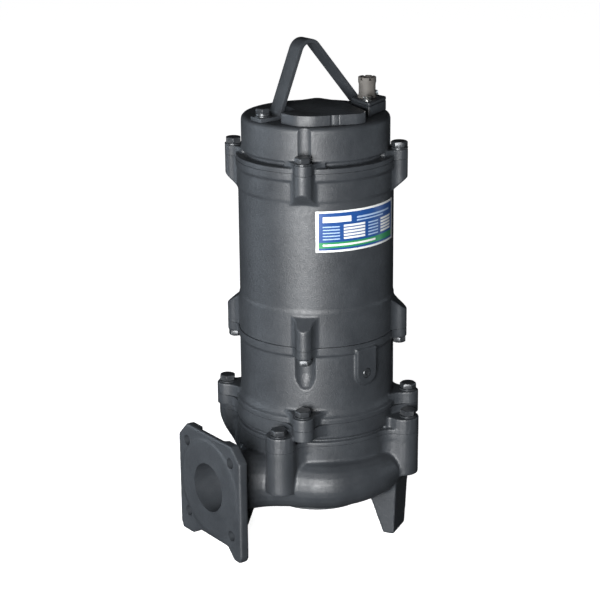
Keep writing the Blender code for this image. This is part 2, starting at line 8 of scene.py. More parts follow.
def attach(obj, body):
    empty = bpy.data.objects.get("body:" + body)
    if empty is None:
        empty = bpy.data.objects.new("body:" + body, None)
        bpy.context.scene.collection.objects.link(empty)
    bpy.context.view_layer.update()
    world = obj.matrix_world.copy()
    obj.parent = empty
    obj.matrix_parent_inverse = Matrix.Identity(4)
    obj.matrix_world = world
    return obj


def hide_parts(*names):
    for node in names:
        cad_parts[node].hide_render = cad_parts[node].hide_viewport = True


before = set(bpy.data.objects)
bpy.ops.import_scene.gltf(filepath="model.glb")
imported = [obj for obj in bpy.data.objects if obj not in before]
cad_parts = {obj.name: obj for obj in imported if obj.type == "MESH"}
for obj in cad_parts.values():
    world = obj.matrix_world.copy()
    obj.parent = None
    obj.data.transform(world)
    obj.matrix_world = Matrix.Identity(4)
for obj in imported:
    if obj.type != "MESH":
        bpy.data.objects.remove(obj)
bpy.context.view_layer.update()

# Volute casing: the sand-cast iron snail that the impeller turns in, with its square discharge
# flange, its bolt bosses and its three legs all in one casting. It is fettled by hand and then
# sprayed with a satin dark grey paint, and only the flange face and the rim are machined.
MM = 0.001
AXIS = Vector((25.3, 1.75, 0.0)) * MM
RIM_R = 105.0
CASING_LUG = (121.4, 19.0, 20.0)
CASING_ANGLES = (31, 121, 211, 301)
CASING_TOP = 140.2


def start_edit(item, mode="FACE"):
    bpy.ops.object.select_all(action="DESELECT")
    item.select_set(True)
    bpy.context.view_layer.objects.active = item
    bpy.ops.object.mode_set(mode="EDIT")
    bpy.ops.mesh.select_mode(type=mode)
    bpy.ops.mesh.select_all(action="SELECT")


def end_edit():
    bpy.ops.mesh.select_all(action="SELECT")
    bpy.ops.mesh.normals_make_consistent(inside=False)
    bpy.ops.object.mode_set(mode="OBJECT")


def pick_faces(item, test):
    """In edit mode, select only the faces whose centre and normal pass the test."""
    bpy.ops.mesh.select_mode(type="FACE")
    bpy.ops.mesh.select_all(action="DESELECT")
    mesh = bmesh.from_edit_mesh(item.data)
    for face in mesh.faces:
        face.select_set(bool(test(face.calc_center_median() / MM, face.normal)))
    bmesh.update_edit_mesh(item.data)


def pick_edges(item, test):
    """In edit mode, select only the edges whose middle and direction pass the test."""
    bpy.ops.mesh.select_mode(type="EDGE")
    bpy.ops.mesh.select_all(action="DESELECT")
    mesh = bmesh.from_edit_mesh(item.data)
    for edge in mesh.edges:
        first, second = (v.co / MM for v in edge.verts)
        edge.select_set(bool(test((first + second) / 2, (second - first).normalized())))
    bmesh.update_edit_mesh(item.data)


def turned(profile, sides=144):
    """Start from a disc, and draw it up and out to each (radius, height) in turn."""
    bpy.ops.object.select_all(action="DESELECT")
    radius, height = profile[0]
    bpy.ops.mesh.primitive_circle_add(
        vertices=sides, radius=radius * MM, fill_type="NGON", location=(0, 0, height * MM))
    item = bpy.context.object
    bpy.ops.object.transform_apply(location=True)
    start_edit(item)
    for wide, tall in profile[1:]:
        bpy.ops.mesh.extrude_region_move(TRANSFORM_OT_translate={"value": (0, 0, (tall - height) * MM)})
        bpy.ops.transform.resize(value=(wide / radius, wide / radius, 1), center_override=(0, 0, tall * MM))
        radius, height = wide, tall
    end_edit()
    return item


def block(low, high):
    """A box between two corners, in the pump's own millimetres."""
    low, high = Vector(low) * MM, Vector(high) * MM
    bpy.ops.object.select_all(action="DESELECT")
    bpy.ops.mesh.primitive_cube_add(size=1, location=(low + high) / 2, scale=high - low)
    bpy.ops.object.transform_apply(location=True, rotation=True, scale=True)
    return bpy.context.object


def saw(item, point, normal):
    """Cut away what lies on the side that the normal points to, and close the cut."""
    start_edit(item)
    bpy.ops.mesh.bisect(
        plane_co=Vector(point) * MM, plane_no=Vector(normal).normalized(), use_fill=True, clear_outer=True)
    end_edit()
    return item


def turn_to(item, degrees):
    bpy.ops.object.select_all(action="DESELECT")
    item.select_set(True)
    bpy.context.view_layer.objects.active = item
    item.rotation_euler.z = math.radians(degrees)
    bpy.ops.object.transform_apply(location=True, rotation=True, scale=True)
    return item


def sweep(steps, turn, centre, axis=(0, 0, 1)):
    """Spin what is selected about an axis, anticlockwise as seen from the axis's tip."""
    bpy.ops.mesh.spin(steps=steps, angle=-turn, center=centre, axis=axis)


def cast_lug(wall_r, lug, low, high, degrees, cuts=(), dig=10.0):
    """Half-round lug on a round wall: a radial panel is spun round one fillet, the nose and the other
    fillet, and closed behind the wall. Each cut is a point and the normal of a plane."""
    reach, nose, fillet = lug
    side = wall_r + fillet
    spread = math.acos((side ** 2 + reach ** 2 - (nose + fillet) ** 2) / (2 * reach * side))
    pivot = Vector((side * math.cos(spread), -side * math.sin(spread), 0))
    centre = Vector((reach, 0, 0))
    root, touch = -pivot.normalized(), (centre - pivot).normalized()
    fillet_turn = math.atan2(root.x * touch.y - root.y * touch.x, root.dot(touch))
    nose_turn = 2 * math.atan2(touch.y, -touch.x)
    middle = wall_r - dig / 2
    bpy.ops.object.select_all(action="DESELECT")
    bpy.ops.mesh.primitive_plane_add(
        size=1, rotation=(math.pi / 2, 0, -spread),
        location=(middle * math.cos(spread) * MM, -middle * math.sin(spread) * MM, (low + high) / 2 * MM))
    item = bpy.context.object
    item.scale = (dig * MM, (high - low) * MM, 1)
    bpy.ops.object.transform_apply(location=True, rotation=True, scale=True)
    start_edit(item, "EDGE")
    pick_edges(item, lambda c, d: abs(d.z) > 0.9 and math.hypot(c.x, c.y) > middle)
    for turn, about, steps in ((fillet_turn, pivot, 6), (nose_turn, centre, 12),
                               (fillet_turn, Vector((pivot.x, -pivot.y, 0)), 6)):
        sweep(steps, turn, about * MM)
    inward = Vector((-math.cos(spread), -math.sin(spread), 0)) * dig * MM
    bpy.ops.mesh.extrude_region_move(TRANSFORM_OT_translate={"value": inward})
    pick_edges(item, lambda c, d: abs(d.z) > 0.9 and math.hypot(c.x, c.y) < middle)
    bpy.ops.mesh.edge_face_add()
    bpy.ops.mesh.select_all(action="SELECT")
    bpy.ops.mesh.fill_holes(sides=0)
    end_edit()
    for point, normal in cuts:
        saw(item, point, normal)
    return turn_to(item, degrees)


def fuse(name, parts, grain, passes):
    """Melt overlapping shapes into one casting, and round its edges as a sand mould does."""
    bpy.ops.object.select_all(action="DESELECT")
    for part in parts:
        part.select_set(True)
    bpy.context.view_layer.objects.active = parts[0]
    bpy.ops.object.join()
    item = bpy.context.object
    item.name = item.data.name = name
    melt = item.modifiers.new("melt", "REMESH")
    melt.mode = "VOXEL"
    melt.voxel_size = grain * MM
    bpy.ops.object.modifier_apply(modifier=melt.name)
    soften = item.modifiers.new("soften", "SMOOTH")
    soften.factor = 0.5
    soften.iterations = passes
    bpy.ops.object.modifier_apply(modifier=soften.name)
    return item


def machine(item, cutters):
    """Bore or mill shapes out of a casting. The cutters are used up."""
    bpy.ops.object.select_all(action="DESELECT")
    item.select_set(True)
    bpy.context.view_layer.objects.active = item
    for cutter in cutters:
        step = item.modifiers.new("bore", "BOOLEAN")
        step.operation = "DIFFERENCE"
        step.solver = "EXACT"
        step.object = cutter
        bpy.ops.object.modifier_apply(modifier=step.name)
        bpy.data.objects.remove(cutter, do_unlink=True)
    return item


def finish_piece(item, paint, angle=35):
    """Move a finished piece onto the pump's axis, shade it, paint it and let it ride on the pump."""
    bpy.ops.object.select_all(action="DESELECT")
    item.select_set(True)
    bpy.context.view_layer.objects.active = item
    item.location = AXIS
    bpy.ops.object.transform_apply(location=True, rotation=True, scale=True)
    bpy.ops.object.shade_smooth_by_angle(angle=math.radians(angle))
    item.data.materials.clear()
    item.data.materials.append(paint)
    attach(item, "root")
    return item


def new_material(name):
    """A material with its shader, and the object coordinates that its textures lie on."""
    made = bpy.data.materials.new(name)
    made.use_nodes = True
    tree = made.node_tree
    return made, tree, tree.nodes["Principled BSDF"], tree.nodes.new("ShaderNodeTexCoord")


def noise(tree, coordinates, scale, detail=3.0, roughness=0.5):
    node = tree.nodes.new("ShaderNodeTexNoise")
    node.inputs["Scale"].default_value = scale
    node.inputs["Detail"].default_value = detail
    node.inputs["Roughness"].default_value = roughness
    tree.links.new(coordinates.outputs["Object"], node.inputs["Vector"])
    return node


def ramp(tree, source, stops):
    """Colour ramp on a source value. Each stop is a place and a colour or a grey."""
    node = tree.nodes.new("ShaderNodeValToRGB")
    for index, (place, colour) in enumerate(stops):
        element = node.color_ramp.elements[index] if index < 2 else node.color_ramp.elements.new(place)
        element.position = place
        element.color = (*colour, 1) if isinstance(colour, tuple) else (colour, colour, colour, 1)
    tree.links.new(source, node.inputs["Fac"])
    return node


def bumps(tree, shader, layers):
    """Stack bump layers, each a height and how far it stands out in metres."""
    last = None
    for height, distance in layers:
        node = tree.nodes.new("ShaderNodeBump")
        node.inputs["Distance"].default_value = distance
        tree.links.new(height, node.inputs["Height"])
        if last:
            tree.links.new(last.outputs["Normal"], node.inputs["Normal"])
        last = node
    tree.links.new(last.outputs["Normal"], shader.inputs["Normal"])


def cast_paint():
    """Satin dark grey paint over sand-cast iron: fine grit, slow waves and a little dust."""
    made, tree, shader, coordinates = new_material("cast_paint")
    grit = noise(tree, coordinates, 620, 4.0, 0.65)
    waves = noise(tree, coordinates, 170, 2.0)
    patches = noise(tree, coordinates, 22, 4.0, 0.6)
    colour = ramp(tree, patches.outputs["Fac"], [(0.35, (0.022, 0.025, 0.029)), (0.68, (0.032, 0.036, 0.041))])
    gloss = ramp(tree, waves.outputs["Fac"], [(0.3, 0.42), (0.75, 0.54)])
    tree.links.new(colour.outputs["Color"], shader.inputs["Base Color"])
    tree.links.new(gloss.outputs["Color"], shader.inputs["Roughness"])
    bumps(tree, shader, [(waves.outputs["Fac"], 0.0002), (grit.outputs["Fac"], 0.0003)])
    return made


def spiral_points():
    """Middle line of the volute: from its thin start round to the neck and out to the flange."""
    points = []
    for degrees in range(165, -121, -15):
        thick = 17 + 15 * (165 - degrees) / 285
        turn = math.radians(degrees)
        points.append((Vector(((66 + thick) * math.cos(turn), (66 + thick) * math.sin(turn), 87.5)), thick))
    root, mouth = points[-1][0], Vector((-160, 0, 84))
    reach = (mouth - root).length
    away = Vector((math.cos(math.radians(-210)), math.sin(math.radians(-210)), 0))
    first, second = root + away * reach * 0.15, mouth + Vector((1, 0, 0)) * reach * 0.6
    for step in range(1, 5):
        t = step / 4
        rest = 1 - t
        point = root * rest ** 3 + first * 3 * t * rest ** 2 + second * 3 * t * t * rest + mouth * t ** 3
        points.append((point, 32 + 8 * t))
    return points


def tube(points, shrink=0.0, end=()):
    """Round tube of changing width along a smooth line, as a solid."""
    bpy.ops.object.select_all(action="DESELECT")
    bpy.ops.curve.primitive_bezier_curve_add()
    item = bpy.context.object
    line = item.data.splines[0]
    stations = points + list(end)
    line.bezier_points.add(len(stations) - len(line.bezier_points))
    for knot, (place, radius) in zip(line.bezier_points, stations):
        knot.co = place * MM
        knot.radius = radius - shrink
        knot.handle_left_type = knot.handle_right_type = "AUTO"
    item.data.bevel_depth = MM
    item.data.bevel_resolution = 10
    item.data.resolution_u = 6
    item.data.use_fill_caps = True
    bpy.ops.object.convert(target="MESH")
    start_edit(item)
    bpy.ops.mesh.remove_doubles(threshold=0.00001)
    end_edit()
    return item


def flange_parts():
    """Square flange: a thin plate with a thicker frame behind it, cut corners and two feet."""
    layers = [block((-172.5, -70, 16), (-160, 70, 146)), block((-172.5, -70, 60), (-165.7, 70, 156))]
    layers += [block((-172.5, 30, 110), (-160, 70, 156)), block((-172.5, -70, 110), (-160, -30, 156))]
    for plate in layers:
        for side in (-1, 1):
            saw(plate, (-166, 70 * side, 137), (0, side, 1))
    front = block((-172.5, -70, 2), (-160, -39, 40))
    saw(front, (-166, -54, 2), (0, 14, -15))
    saw(front, (-166, -70, 10), (0, -10, -5))
    rear = block((-172.5, 24, 5.5), (-160, 70, 40))
    saw(rear, (-166, 42, 5.5), (0, -10.5, -18))
    saw(rear, (-166, 70, 14), (0, 10, -5))
    bpy.ops.object.select_all(action="DESELECT")
    bpy.ops.mesh.primitive_cylinder_add(
        vertices=96, radius=62.5 * MM, depth=4 * MM, location=Vector((-171.7, 0, 84)) * MM,
        rotation=(0, math.pi / 2, 0))
    bpy.ops.object.transform_apply(location=True, rotation=True, scale=True)
    return layers + [front, rear, bpy.context.object]


def casing_leg(degrees):
    """Leg cast under the volute: a slab that leans outwards and ends in a flat foot."""
    item = block((101, -21.5, 0), (116, 21.5, 75.5))
    start_edit(item)
    pick_faces(item, lambda c, n: n.z > 0.9)
    bpy.ops.transform.resize(value=(3.067, 1.093, 1), center_override=Vector((114.04, 10.75, 75.5)) * MM)
    end_edit()
    return turn_to(item, degrees)


def drill(place, radius, depth, turn=(0, 0, 0), sides=40):
    bpy.ops.object.select_all(action="DESELECT")
    bpy.ops.mesh.primitive_cylinder_add(
        vertices=sides, radius=radius * MM, depth=depth * MM, location=Vector(place) * MM, rotation=turn)
    bpy.ops.object.transform_apply(location=True, rotation=True, scale=True)
    return bpy.context.object


paint = cast_paint()
body = turned([(70, 48), (74, 48), (88, 56), (88, 108), (RIM_R, 117), (RIM_R, 146)])
line = spiral_points()
parts = [body, tube(line, 0.0, [(Vector((-168, 0, 84)), 40)])] + flange_parts() + [casing_leg(a) for a in (-59, 61, 157)]
slope = ((118, 0, 103), (29, 0, -22))
for degrees in CASING_ANGLES:
    parts.append(cast_lug(RIM_R, CASING_LUG, 132, 146, degrees))
    tall = degrees > 180
    cuts = () if tall else (slope,)
    parts.append(cast_lug(RIM_R - 1, (121.4, 18.8, 20.0), 82 if tall else 88, 136, degrees, cuts))
volute = fuse("volute_casing_shell", parts, 1.6, 5)
saw(volute, (0, 0, 0.2), (0, 0, -1))
room = turned([(50, 30), (50, 56), (78, 56), (78, 150)], 96)
passage = tube(line, 8.0, [(Vector((-190, 0, 84)), 40.5)])
holes = [drill((-166, y, 84 + z), 7, 30, (0, math.pi / 2, 0)) for y in (-49.5, 49.5) for z in (-49.5, 49.5)]
deck = block((-158, -140, CASING_TOP), (140, 140, 170))
machine(volute, [deck, room, passage] + holes)
finish_piece(volute, paint)
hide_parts("volute_casing")

# Suction cover and impeller: plain grey-iron castings. The cover is sprayed with the casing and
# screwed under it round the suction eye; the impeller inside is left as bare, slightly rusty iron.


def bare_iron():
    """Unpainted grey iron: coarse grain, darker patches and a breath of rust."""
    made, tree, shader, coordinates = new_material("bare_iron")
    grain = noise(tree, coordinates, 700, 5.0, 0.65)
    stains = noise(tree, coordinates, 45, 4.0, 0.6)
    colour = ramp(tree, stains.outputs["Fac"], [(0.35, (0.07, 0.066, 0.062)), (0.72, (0.12, 0.085, 0.06))])
    gloss = ramp(tree, grain.outputs["Fac"], [(0.3, 0.5), (0.7, 0.75)])
    shader.inputs["Metallic"].default_value = 0.5
    tree.links.new(colour.outputs["Color"], shader.inputs["Base Color"])
    tree.links.new(gloss.outputs["Color"], shader.inputs["Roughness"])
    bumps(tree, shader, [(grain.outputs["Fac"], 0.0003)])
    return made


def repaint(node, paint):
    """Give a CAD node that stays in view its own finish."""
    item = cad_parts[node]
    item.data.materials.clear()
    item.data.materials.append(paint)


iron = bare_iron()
repaint("suction_cover", paint)
repaint("impeller", iron)

# Casing cover: a flat iron casting that closes the volute and carries the oil chamber. Four wide
# lugs are bolted down to the casing, and four narrower pads between them take the chamber's bolts.
CHAMBER_LUG = (119.7, 13.5, 28.0)
MOTOR_ANGLES = (45, 135, 225, 315)

parts = [turned([(90, 134), (RIM_R, 134), (RIM_R, 144.6), (RIM_R - 0.7, 145.6), (101, 146), (101, 149),
                 (RIM_R - 0.8, 150), (RIM_R, 151.5), (RIM_R, 176)], 180)]
for degrees in CASING_ANGLES:
    parts.append(cast_lug(RIM_R, CASING_LUG, 134, 146, degrees))
    parts.append(cast_lug(RIM_R, (121.4, 19.0, 5.0), 142, 160, degrees, dig=14))
for degrees in MOTOR_ANGLES:
    parts.append(cast_lug(RIM_R, CHAMBER_LUG, 155.7, 176, degrees))
cover = fuse("casing_cover_casting", parts, 1.1, 3)
saw(cover, (0, 0, 140.5), (0, 0, -1))
saw(cover, (0, 0, 170.0), (0, 0, 1))
finish_piece(cover, paint)
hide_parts("casing_cover")

# Oil chamber: a short round casting filled with oil between the shaft seals. It stands on four
# feet, and under each upper lug a hollow is cast into its wall so that a spanner reaches the bolt.
LOWER_LUG = (107.2, 10.0, 16.0)


def spanner_pocket(degrees):
    """Hollow under a frame bolt: straight down at the top, and closing to a blunt point below."""
    bpy.ops.object.select_all(action="DESELECT")
    bpy.ops.mesh.primitive_circle_add(
        vertices=48, radius=15.5 * MM, fill_type="NGON", location=(0, 0, 262 * MM))
    item = bpy.context.object
    bpy.ops.object.transform_apply(location=True)
    start_edit(item)
    height, width = 262.0, 15.5
    for wide, tall in ((15.5, 233), (14.0, 225), (10.5, 217), (5.0, 211), (1.0, 209)):
        bpy.ops.mesh.extrude_region_move(TRANSFORM_OT_translate={"value": (0, 0, (tall - height) * MM)})
        bpy.ops.transform.resize(value=(wide / width, wide / width, 1), center_override=(0, 0, tall * MM))
        height, width = tall, wide
    bpy.ops.mesh.select_all(action="SELECT")
    bpy.ops.transform.translate(value=(107.2 * MM, 0, 0))
    end_edit()
    return turn_to(item, degrees)


def plug_boss():
    """Boss for the oil plug: half round below, and straight up to the chamber's top ring."""
    item = drill((94, 0, 231), 15.5, 20, (0, math.pi / 2, 0), 64)
    saw(item, (0, 0, 231), (0, 0, 1))
    start_edit(item)
    pick_faces(item, lambda c, n: n.z > 0.9)
    bpy.ops.mesh.extrude_region_move(TRANSFORM_OT_translate={"value": (0, 0, 33 * MM)})
    end_edit()
    return turn_to(item, PLUG_ANGLE)


PLUG_ANGLE = -89
parts = [turned([(RIM_R, 164), (RIM_R, 176.4), (RIM_R - 0.6, 177.2), (103, 178), (101.4, 180.5), (100.2, 184.5),
                 (99.6, 189), (99.6, 258.5), (101.4, 259.5), (101.4, 277)], 180)]
machine(parts[0], [spanner_pocket(degrees) for degrees in MOTOR_ANGLES])
for degrees in MOTOR_ANGLES:
    parts.append(cast_lug(99.6, CHAMBER_LUG, 164, 185.6, degrees))
    parts.append(cast_lug(99.6, LOWER_LUG, 259, 277, degrees))
parts.append(plug_boss())
chamber = fuse("oil_chamber_casting", parts, 1.2, 3)
machine(chamber, [turn_to(drill((102, 0, 231), 6.7, 16, (0, math.pi / 2, 0)), PLUG_ANGLE)])
saw(chamber, (0, 0, 170.3), (0, 0, -1))
saw(chamber, (0, 0, 270.3), (0, 0, 1))
finish_piece(chamber, paint)
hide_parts("oil_chamber")

# Motor frame: the long round casting round the motor's windings. Its four lower lugs are held up by
# bolts from the chamber, and its four upper lugs take the bolts that hold the head down.
UPPER_LUG = (105.7, 11.0, 12.0)

parts = [turned([(99.8, 264), (99.8, 316), (98.8, 318.5), (98.8, 455.5), (99.6, 458), (99.6, 481.5),
                 (101.4, 484), (101.4, 500)], 180)]
for degrees in MOTOR_ANGLES:
    parts.append(cast_lug(98.8, LOWER_LUG, 264, 316, degrees, (((98.8, 0, 310.7), (14.2, 0, 17.7)),)))
    parts.append(cast_lug(98.8, UPPER_LUG, 450, 500, degrees, (((98.8, 0, 454), (15, 0, -17.7)),)))
motor = fuse("motor_frame_casting", parts, 1.25, 3)
saw(motor, (0, 0, 270.6), (0, 0, -1))
saw(motor, (0, 0, 492.7), (0, 0, 1))
finish_piece(motor, paint)
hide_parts("motor_frame")

# Motor head: the cap over the motor's upper bearing. It is one casting with four bolted ears, and a
# half-round flute runs up its wall above each bolt to leave room for the spanner.
HEAD_LUG = (105.7, 11.0, 20.0)
HEAD_TOP = 548.0


def wall_flute(degrees):
    return turn_to(drill((105.7, 0, 540), 14.7, 68.4, sides=64), degrees)


parts = [turned([(101.0, 486), (101.0, 498.4), (100.4, 499), (88.5, 499), (88.5, 504.6), (93, 504.6), (94, 505.6), (94, 542.2),
                 (93.2, 545.2), (91.2, 547.2), (88.2, HEAD_TOP)], 180)]
for degrees in MOTOR_ANGLES:
    parts.append(cast_lug(94, HEAD_LUG, 486, 505.8, degrees))
head = fuse("motor_head_casting", parts, 1.1, 2)
machine(head, [wall_flute(degrees) for degrees in MOTOR_ANGLES])
saw(head, (0, 0, 493), (0, 0, -1))
finish_piece(head, paint)
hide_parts("motor_head")

# Bolts: zinc-free steel hexagon bolts with flat washers, tightened before the pump is sprayed, so
# the same paint lies over them, thinner and glossier, and it is rubbed on the corners of the heads.
BOLT_AF, BOLT_HEAD, WASHER_R, WASHER = 18.5, 7.5, 11.0, 2.0


def bolt_paint():
    """Paint over smooth steel: tighter gloss, and a little metal at the rubbed edges."""
    made, tree, shader, coordinates = new_material("bolt_paint")
    patches = noise(tree, coordinates, 260, 3.0, 0.6)
    fine = noise(tree, coordinates, 1500, 2.0)
    rub = tree.nodes.new("ShaderNodeNewGeometry")
    edge = ramp(tree, rub.outputs["Pointiness"], [(0.56, 0.0), (0.68, 0.7)])
    wear = tree.nodes.new("ShaderNodeMath")
    wear.operation = "MULTIPLY"
    tree.links.new(edge.outputs["Color"], wear.inputs[0])
    tree.links.new(patches.outputs["Fac"], wear.inputs[1])
    mix = tree.nodes.new("ShaderNodeMix")
    mix.data_type = "RGBA"
    mix.inputs["A"].default_value = (0.03, 0.033, 0.037, 1)
    mix.inputs["B"].default_value = (0.16, 0.165, 0.17, 1)
    tree.links.new(wear.outputs["Value"], mix.inputs["Factor"])
    tree.links.new(mix.outputs["Result"], shader.inputs["Base Color"])
    gloss = ramp(tree, patches.outputs["Fac"], [(0.3, 0.26), (0.75, 0.4)])
    tree.links.new(gloss.outputs["Color"], shader.inputs["Roughness"])
    shader.inputs["Metallic"].default_value = 0.3
    bumps(tree, shader, [(patches.outputs["Fac"], 0.0001), (fine.outputs["Fac"], 0.00004)])
    return made


def join_all(name, parts):
    bpy.ops.object.select_all(action="DESELECT")
    for part in parts:
        part.select_set(True)
    bpy.context.view_layer.objects.active = parts[0]
    bpy.ops.object.join()
    item = bpy.context.object
    item.name = item.data.name = name
    return item


def bolt_head(across, low, tall):
    """Hexagon head whose six corners are turned off at 30 degrees, on a thin round bearing face."""
    bpy.ops.object.select_all(action="DESELECT")
    bpy.ops.mesh.primitive_cylinder_add(
        vertices=6, radius=across / math.sqrt(3) * MM, depth=(tall - 0.5) * MM,
        location=(0, 0, (low + 0.5 + tall / 2 - 0.25) * MM))
    head = bpy.context.object
    bpy.ops.object.transform_apply(location=True)
    top = low + tall
    cone = turned([(across * 0.7, low - 1), (across * 0.7, top - across * 0.13), (across * 0.47, top)], 72)
    step = head.modifiers.new("chamfer", "BOOLEAN")
    step.operation = "INTERSECT"
    step.solver = "EXACT"
    step.object = cone
    bpy.context.view_layer.objects.active = head
    bpy.ops.object.modifier_apply(modifier=step.name)
    bpy.data.objects.remove(cone, do_unlink=True)
    edge = head.modifiers.new("rub", "BEVEL")
    edge.width = 0.35 * MM
    edge.segments = 2
    edge.limit_method = "ANGLE"
    edge.angle_limit = math.radians(25)
    bpy.ops.object.modifier_apply(modifier=edge.name)
    collar = turned([(across * 0.46, low), (across * 0.46, low + 0.9)], 48)
    return join_all("bolt", [head, collar])


def flat_washer(radius, thick):
    return turned([(radius - 0.3, 0), (radius, 0.3), (radius, thick - 0.35), (radius - 0.35, thick)], 56)


def place_copy(pattern, name, place, spin, paint, up=True, angle=30):
    """Copy a finished pattern with its own mesh, and set it on its seat."""
    item = pattern.copy()
    item.data = pattern.data.copy()
    item.name = item.data.name = name
    bpy.context.collection.objects.link(item)
    bpy.ops.object.select_all(action="DESELECT")
    item.select_set(True)
    bpy.context.view_layer.objects.active = item
    item.rotation_euler = (0 if up else math.pi, 0, math.radians(spin))
    item.location = Vector(place) * MM
    bpy.ops.object.transform_apply(location=True, rotation=True, scale=True)
    return finish_piece(item, paint, angle)


def on_ring(radius, degrees, height):
    turn = math.radians(degrees)
    return (radius * math.cos(turn), radius * math.sin(turn), height)


bolt_finish = bolt_paint()
bolt = join_all("bolt_pattern", [bolt_head(BOLT_AF, WASHER, BOLT_HEAD), flat_washer(WASHER_R, WASHER)])
frame_bolt = bolt_head(BOLT_AF * 0.86, 0.4, BOLT_HEAD * 0.86 + 1.2)
rows = (("head_bolt", bolt, 105.7, MOTOR_ANGLES, 505.8, True, (0, 11, 24, 37)),
        ("frame_bolt", frame_bolt, 107.2, MOTOR_ANGLES, 258.9, False, (8, 28, 3, 17)),
        ("chamber_bolt", bolt, 119.7, MOTOR_ANGLES, 185.7, True, (41, 5, 20, 33)),
        ("casing_bolt", bolt, 126.8, CASING_ANGLES, 160.0, True, (13, 49, 30, 2)))
for node, pattern, radius, ring, seat, up, spins in rows:
    for number, degrees in enumerate(ring):
        place = on_ring(radius, degrees, seat)
        name = f"{node}_{number + 1}"
        piece = place_copy(pattern, name + "_hex", place, degrees + spins[number], bolt_finish, up)
        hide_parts(name)

# Oil plug: a steel socket screw on a soft sealing ring. It is painted over with the chamber, and
# its hexagon socket is left dark and empty.
ring = turned([(6.5, 0), (6.5, 2.2), (6.1, 2.7)], 48)
screw = turned([(5.8, 0), (5.8, 3.0), (5.2, 3.6)], 48)
machine(screw, [drill((0, 0, 3.4), 3.3, 6.0, sides=6)])
plug = join_all("oil_plug_screw", [screw, ring])
plug.rotation_euler = (0, math.pi / 2, 0)
plug.location = Vector((100.6, 0, 231)) * MM
bpy.ops.object.select_all(action="DESELECT")
plug.select_set(True)
bpy.context.view_layer.objects.active = plug
bpy.ops.object.transform_apply(location=True, rotation=True, scale=True)
finish_piece(turn_to(plug, PLUG_ANGLE), bolt_finish, 30)
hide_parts("oil_plug")

# Terminal cover: a cast plate that closes the terminal space in the head. Its top is left as it
# was cast, with a softened edge, and a small notch in its edge takes a seal.
PLATE_LOW, PLATE_TOP = 548.3, 561.0
COVER_CORNERS = ((-73, -23), (-69.5, -52), (-55, -67.5), (1, -90), (16, -85), (32, -15), (22, 26), (-34, 26), (-47, -23))
NOTCHES = ((-32.5, -78.5, 3.4), (-24.5, -81.5, 2.2))


def cut_plate(corners, low, high, round_by, soften=0.0):
    """Plate of any outline: a flat ring of corners, rounded, drawn up and softened along its top."""
    bpy.ops.object.select_all(action="DESELECT")
    bpy.ops.mesh.primitive_circle_add(vertices=len(corners), radius=MM, fill_type="NGON", location=(0, 0, low * MM))
    item = bpy.context.object
    bpy.ops.object.transform_apply(location=True)
    for corner, vertex in zip(corners, item.data.vertices):
        vertex.co = Vector((*corner, low)) * MM
    start_edit(item)
    bpy.ops.mesh.bevel(offset=round_by * MM, segments=6, affect="VERTICES")
    bpy.ops.mesh.select_all(action="SELECT")
    bpy.ops.mesh.extrude_region_move(TRANSFORM_OT_translate={"value": (0, 0, (high - low) * MM)})
    end_edit()
    if soften:
        edge = item.modifiers.new("soften", "BEVEL")
        edge.width = soften * MM
        edge.segments = 3
        edge.limit_method = "ANGLE"
        edge.angle_limit = math.radians(50)
        bpy.ops.object.modifier_apply(modifier=edge.name)
    return item


terminal = cut_plate(COVER_CORNERS, PLATE_LOW, PLATE_TOP, 6)
machine(terminal, [drill((x, y, 555), radius, 40, sides=24) for x, y, radius in NOTCHES])
edge = terminal.modifiers.new("cast_edge", "BEVEL")
edge.width = 1.1 * MM
edge.segments = 3
edge.limit_method = "ANGLE"
edge.angle_limit = math.radians(50)
bpy.ops.object.modifier_apply(modifier=edge.name)
terminal.name = terminal.data.name = "terminal_cover_plate"
finish_piece(terminal, paint, 40)
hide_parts("terminal_cover")

# Cable gland: a cast block, a clamp plate on it and a short rubber sleeve that stands in the plate.
# Two small bright screws, each with a washer, squeeze the plate down on the seal.
GLAND_CORNERS = ((35, -64), (82, -41), (80, -16), (42, -16))
GLAND_SCREWS = {"front": (43.5, -49.5), "rear": (75, -23)}
SLEEVE_PLACE = (58.5, -30)


def bright_steel():
    """Zinc-plated steel: bright, with a faint mottle and fine scratches."""
    made, tree, shader, coordinates = new_material("bright_steel")
    mottle = noise(tree, coordinates, 600, 3.0)
    fine = noise(tree, coordinates, 2500, 2.0)
    colour = ramp(tree, mottle.outputs["Fac"], [(0.3, (0.42, 0.42, 0.41)), (0.75, (0.62, 0.62, 0.6))])
    gloss = ramp(tree, fine.outputs["Fac"], [(0.3, 0.22), (0.75, 0.38)])
    shader.inputs["Metallic"].default_value = 1.0
    tree.links.new(colour.outputs["Color"], shader.inputs["Base Color"])
    tree.links.new(gloss.outputs["Color"], shader.inputs["Roughness"])
    bumps(tree, shader, [(fine.outputs["Fac"], 0.00003)])
    return made


def sleeve_rubber():
    """Grey-brown rubber: matt, dusty and a little mottled."""
    made, tree, shader, coordinates = new_material("sleeve_rubber")
    dust = noise(tree, coordinates, 90, 4.0, 0.6)
    grain = noise(tree, coordinates, 1400, 3.0)
    colour = ramp(tree, dust.outputs["Fac"], [(0.3, (0.06, 0.055, 0.05)), (0.75, (0.10, 0.094, 0.086))])
    gloss = ramp(tree, dust.outputs["Fac"], [(0.3, 0.6), (0.75, 0.8)])
    tree.links.new(colour.outputs["Color"], shader.inputs["Base Color"])
    tree.links.new(gloss.outputs["Color"], shader.inputs["Roughness"])
    bumps(tree, shader, [(dust.outputs["Fac"], 0.0002), (grain.outputs["Fac"], 0.00005)])
    return made


